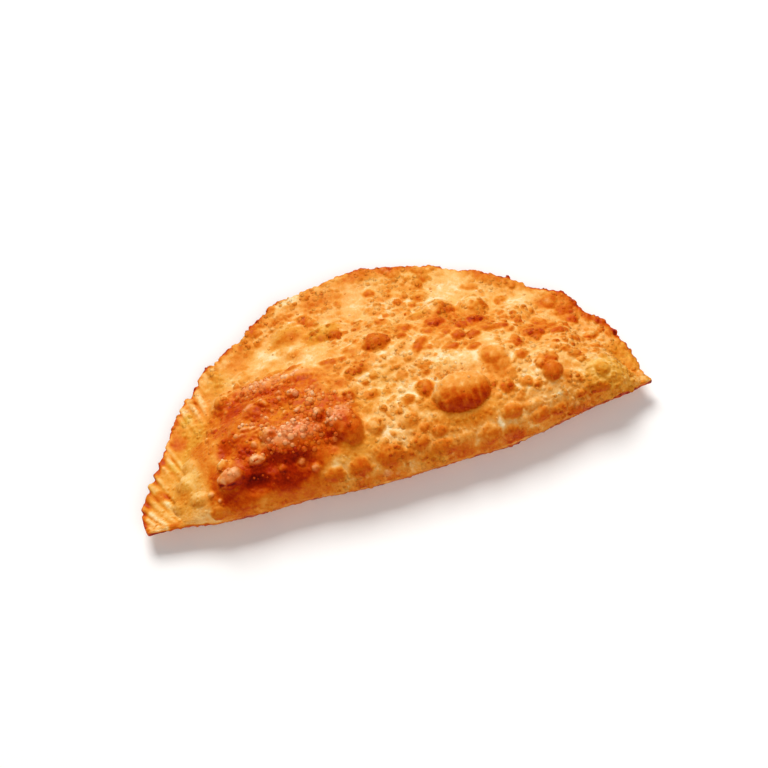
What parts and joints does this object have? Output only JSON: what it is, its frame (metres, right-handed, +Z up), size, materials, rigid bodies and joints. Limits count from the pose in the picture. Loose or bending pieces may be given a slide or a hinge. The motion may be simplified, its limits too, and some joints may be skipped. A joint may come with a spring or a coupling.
{
  "type": "cheburek",
  "caption": "Deep-fried half-moon turnover with a folded side, a thin crimped and toothed rim, a puffed blistered top and a flattened belly.",
  "frame": {"origin": "on the surface it lies on, under the middle of its box", "axes": "+X along the fold to the right tip, +Y from the fold to the crimped rim, +Z up from the belly it lies on"},
  "size_m": [0.2026, 0.0998, 0.0295],
  "materials": {
    "crust": "fried dough, golden with orange-brown blisters and an oily half gloss"
  },
  "bodies": {
    "root": {"cheburek": "crust"}
  },
  "joints": []
}
